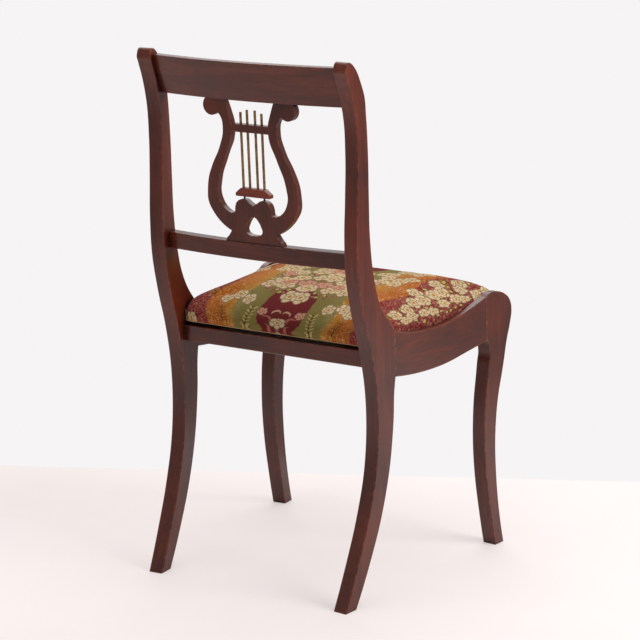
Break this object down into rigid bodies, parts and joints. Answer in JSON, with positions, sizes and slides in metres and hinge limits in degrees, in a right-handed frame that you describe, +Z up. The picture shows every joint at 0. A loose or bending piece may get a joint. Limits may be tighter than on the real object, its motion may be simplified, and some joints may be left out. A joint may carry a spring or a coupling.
{
  "type": "lyre back dining chair",
  "caption": "Wooden side chair with sabre legs, rounded knees, scrolled back posts, a fretwork lyre back with metal strings, and a padded tapestry drop-in seat.",
  "frame": {"origin": "middle of the chair's outside width and depth, on the floor that the feet stand on", "axes": "+Z up, the chair faces -Y, +X towards the sitter's left"},
  "size_m": [0.4578, 0.437, 0.836],
  "materials": {
    "show_wood": "dark red-brown mahogany stain under a worn satin varnish",
    "frame_wood": "plain sawn secondary wood",
    "dowel_wood": "plain turned dowel",
    "string_metal": "dull aged brass",
    "screw_steel": "plain steel",
    "seat_fabric": "woven floral tapestry in burgundy, cream, ochre and sage",
    "padding": "upholstery wadding",
    "webbing": "plain woven jute webbing",
    "dust_cloth": "thin black dust cloth"
  },
  "bodies": {
    "root": {"back_post_left": "show_wood", "back_post_right": "show_wood", "front_leg_left": "show_wood", "front_leg_right": "show_wood", "side_rail_left": "show_wood", "side_rail_right": "show_wood", "crest_rail": "show_wood", "cross_rail": "show_wood", "rear_seat_rail": "show_wood", "front_seat_rail": "show_wood", "lyre_frame": "show_wood", "lyre_bridge": "show_wood", "lyre_string_1": "string_metal", "lyre_string_2": "string_metal", "lyre_string_3": "string_metal", "lyre_string_4": "string_metal", "bridge_pins": "string_metal", "lyre_dowels": "dowel_wood", "rail_dowels": "dowel_wood", "side_dowels": "dowel_wood", "block_screws": "screw_steel", "seat_screws": "screw_steel", "corner_block_rear_left": "frame_wood", "corner_block_rear_right": "frame_wood", "corner_block_front_left": "frame_wood", "corner_block_front_right": "frame_wood", "seat_cover": "seat_fabric", "dust_cover": "dust_cloth", "seat_webbing": "webbing", "seat_padding": "padding", "seat_frame_rear": "frame_wood", "seat_frame_front": "frame_wood", "seat_frame_left": "frame_wood", "seat_frame_right": "frame_wood"}
  },
  "joints": []
}
